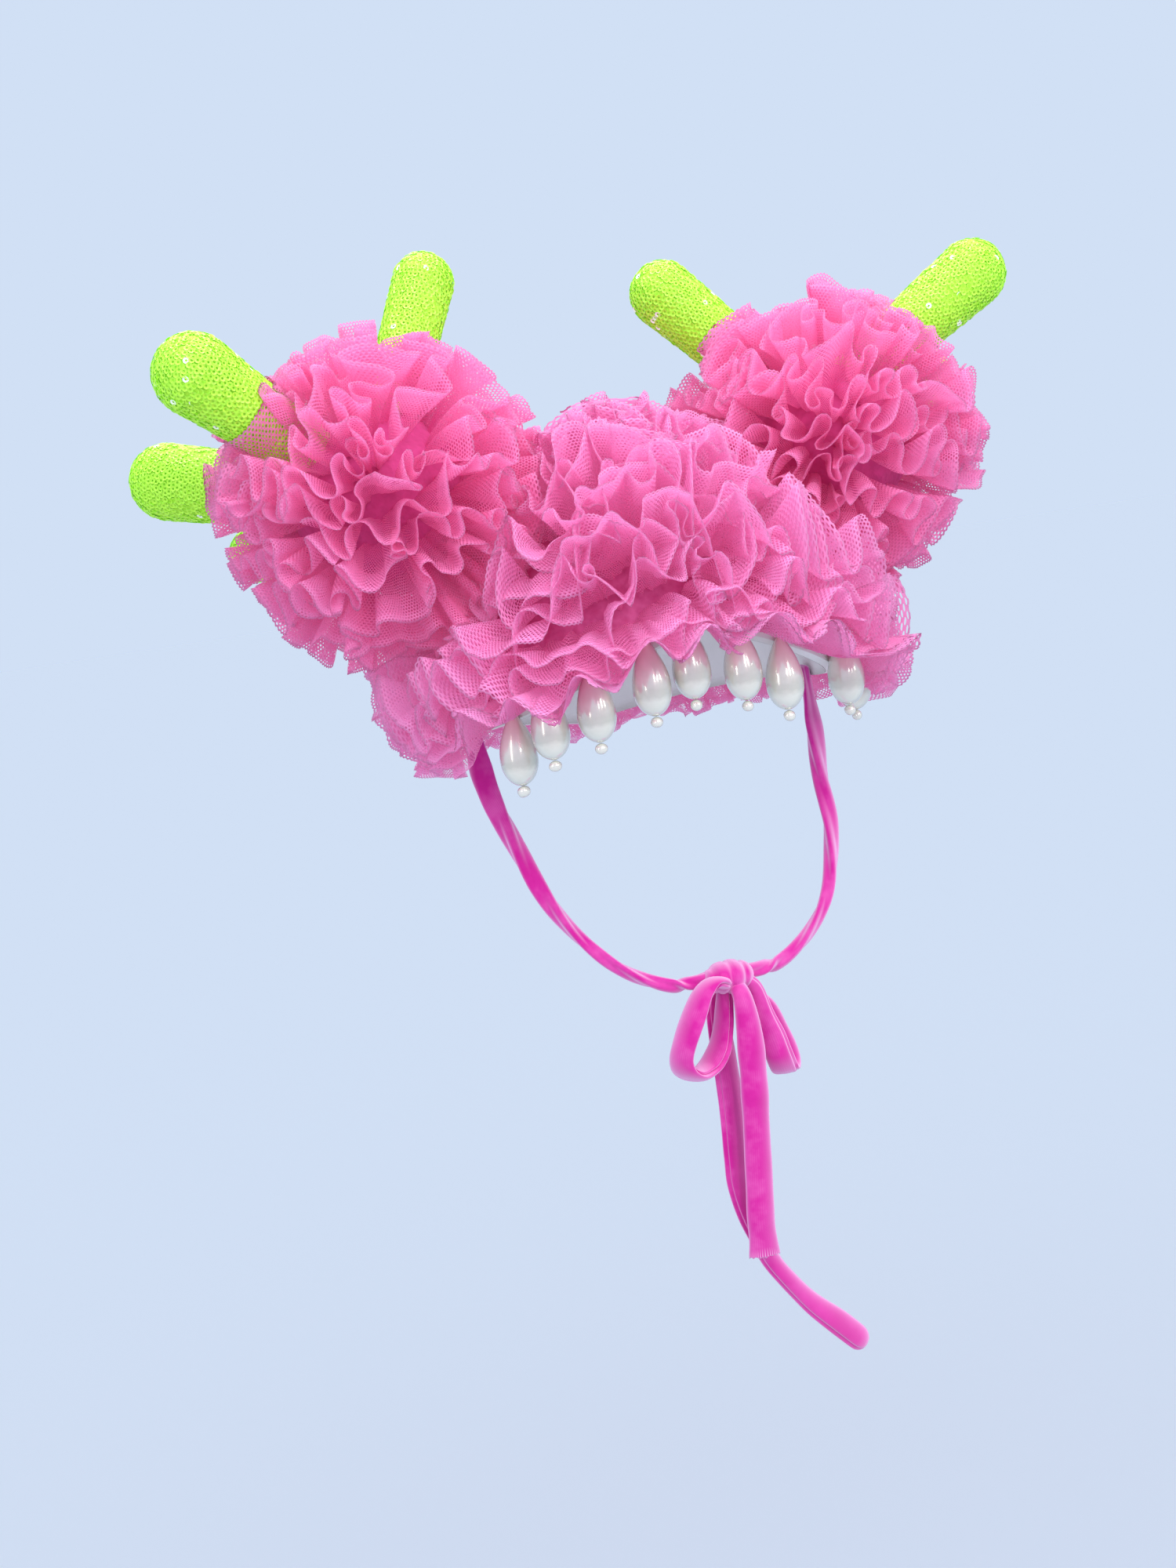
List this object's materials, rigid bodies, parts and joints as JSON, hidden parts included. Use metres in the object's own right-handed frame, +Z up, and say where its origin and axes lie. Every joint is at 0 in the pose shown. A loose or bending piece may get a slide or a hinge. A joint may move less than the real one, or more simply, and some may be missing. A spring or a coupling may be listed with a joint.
{
  "type": "antler headpiece",
  "caption": "Felt cap covered in gathered net ruffles, with ruffled antlers, sequinned tines, drop pearls along the front rim and a velvet tie with a bow.",
  "frame": {"origin": "inside top of the crown, where the cap sits on a head", "axes": "+Z up, the wearer faces -Y, +X is the wearer's left"},
  "size_m": [0.4298, 0.2919, 0.5506],
  "materials": {
    "felt_white": "pressed felt",
    "net_pink": "hexagonal nylon net",
    "sequin_lime": "cloth closely sewn with ring sequins",
    "pearl_ivory": "pearlescent coat",
    "bead_white": "pearlescent coat",
    "velvet_magenta": "stretch velvet"
  },
  "bodies": {
    "root": {"cap_shell": "felt_white", "cap_ruffles": "net_pink", "antler_right": "net_pink", "antler_left": "net_pink", "tine_right_inner": "sequin_lime", "tine_right_main": "sequin_lime", "tine_right_outer": "sequin_lime", "tine_right_rear": "sequin_lime", "tine_left_inner": "sequin_lime", "tine_left_main": "sequin_lime", "tine_left_outer": "sequin_lime", "tine_left_rear": "sequin_lime", "pearl_1": "pearl_ivory", "pearl_2": "pearl_ivory", "pearl_3": "pearl_ivory", "pearl_4": "pearl_ivory", "pearl_5": "pearl_ivory", "pearl_6": "pearl_ivory", "pearl_7": "pearl_ivory", "pearl_8": "pearl_ivory", "pearl_9": "pearl_ivory", "stop_bead_1": "bead_white", "stop_bead_2": "bead_white", "stop_bead_3": "bead_white", "stop_bead_4": "bead_white", "stop_bead_5": "bead_white", "stop_bead_6": "bead_white", "stop_bead_7": "bead_white", "stop_bead_8": "bead_white", "stop_bead_9": "bead_white", "tie_right": "velvet_magenta", "tie_left": "velvet_magenta", "knot": "velvet_magenta", "bow_loop_right": "velvet_magenta", "bow_loop_left": "velvet_magenta", "tail_front": "velvet_magenta", "tail_back": "velvet_magenta"}
  },
  "joints": []
}
